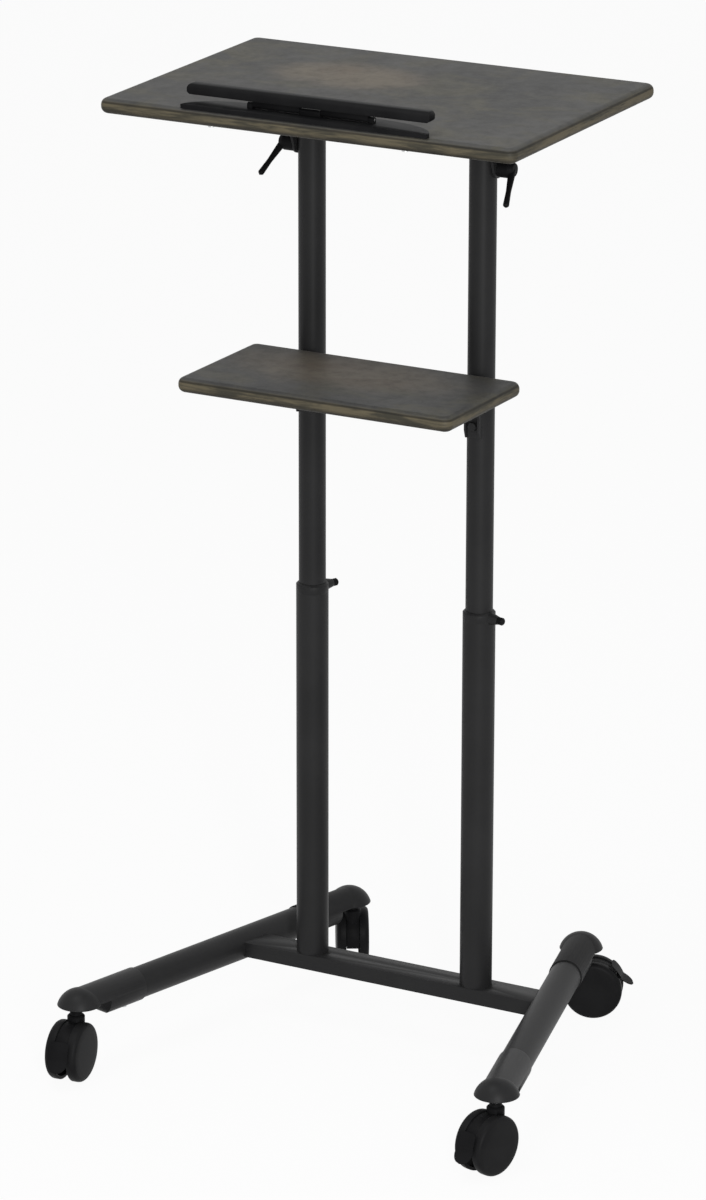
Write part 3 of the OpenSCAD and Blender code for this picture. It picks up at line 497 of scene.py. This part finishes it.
def make_lever(side):
    low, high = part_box("right_tilt_lever")
    start = low.x - frame_box_middle("right_inner_tube").x
    place = column_frame(side) @ Matrix.Translation((start, 0, joint_of[side + "_lever_turn"]["pos_m"][2]))
    dip = math.radians(LEVER_DIP[side])
    way = Vector((math.sin(LEVER_LEAN), -math.cos(LEVER_LEAN) * math.cos(dip), -math.cos(LEVER_LEAN) * math.sin(dip)))
    arm = Matrix.Translation((16.0 * MM, 0, 0)) @ way.to_track_quat("Z", "X").to_matrix().to_4x4()
    along_x = Matrix.Rotation(math.radians(90), 4, "Y")
    whole = joined((turned(rounded(LEVER_HUB), 40), place @ along_x), (turned(rounded(LEVER_ARM), 24), place @ arm))
    piece(side + "_lever_grip", whole, side + "_tilt_lever", plastic, [side + "_tilt_lever"])


for side in SIDES:
    make_lever(side)


# Softened edges on moulded and folded pieces

for corner in CORNERS:
    softened(corner + "_shoe", 0.8, satin_plastic)
    softened(corner + "_caster_body", 0.5)
for side in SIDES:
    softened(side + "_collar", 0.4, satin_plastic)
    softened(side + "_tilt_bracket", 0.5)
    softened(side + "_shelf_bracket", 0.4)
softened("book_stop_base", 0.9)
softened("book_stop_lip", 0.8)
softened("crossbar", 0.9)


# Floor, world and lamps

def camera_glow(finish, colour, share):
    """Makes a surface show partly by its own light to the camera and in reflections."""
    tree = finish.tree
    path = tree.nodes.new("ShaderNodeLightPath")
    seen = Wire(finish, path.outputs["Is Camera Ray"]).math("MAXIMUM", Wire(finish, path.outputs["Is Glossy Ray"]))
    glow = finish.add("ShaderNodeEmission", {}, Color=(*colour, 1.0), Strength=1.0)
    mixed = finish.add("ShaderNodeMixShader", {}, seen * share, Wire(finish, finish.shader.outputs[0]), glow)
    tree.links.new(mixed.socket, tree.nodes["Material Output"].inputs["Surface"])


def make_floor():
    mesh = bpy.data.meshes.new("floor")
    build = bmesh.new()
    bmesh.ops.create_grid(build, x_segments=1, y_segments=1, size=40.0)
    bmesh.ops.translate(build, verts=build.verts, vec=(0, 0, -0.0005))
    build.to_mesh(mesh)
    build.free()
    floor = bpy.data.objects.new("floor", mesh)
    bpy.context.scene.collection.objects.link(floor)
    finish = Finish("floor", Roughness=0.9)
    speckle = finish.noise(3.0, 2.0, 0.5)
    finish.set("Base Color", finish.mix(speckle, (0.80, 0.80, 0.80), (0.82, 0.82, 0.82)))
    camera_glow(finish, (1.0, 1.0, 1.0), 0.94)
    mesh.materials.append(finish.material)


def make_world():
    world = bpy.data.worlds.new("studio")
    world.use_nodes = True
    tree = world.node_tree
    background = tree.nodes["Background"]
    path = tree.nodes.new("ShaderNodeLightPath")
    seen = tree.nodes.new("ShaderNodeMath")
    seen.operation = "MAXIMUM"
    tree.links.new(path.outputs["Is Camera Ray"], seen.inputs[0])
    tree.links.new(path.outputs["Is Glossy Ray"], seen.inputs[1])
    strength = tree.nodes.new("ShaderNodeMapRange")
    strength.inputs["To Min"].default_value = 0.36
    strength.inputs["To Max"].default_value = 1.0
    tree.links.new(seen.outputs[0], strength.inputs["Value"])
    tree.links.new(strength.outputs[0], background.inputs["Strength"])
    background.inputs["Color"].default_value = (1.0, 1.0, 1.0, 1.0)
    bpy.context.scene.world = world


def add_lamp(name, place, target, width, height, power):
    data = bpy.data.lights.new(name, "AREA")
    data.shape = "RECTANGLE"
    data.size = width
    data.size_y = height
    data.energy = power
    lamp = bpy.data.objects.new(name, data)
    lamp.location = place
    lamp.rotation_euler = (Vector(target) - Vector(place)).to_track_quat("-Z", "Y").to_euler()
    bpy.context.scene.collection.objects.link(lamp)


make_floor()
make_world()
add_lamp("key", (2.05, -2.9, 1.6), (0, 0, 0.75), 0.3, 2.3, 84.0)
add_lamp("top", (-0.6, -1.2, 4.2), (0, 0, 0.7), 1.6, 1.6, 40.0)
bpy.context.scene.view_settings.view_transform = "Standard"
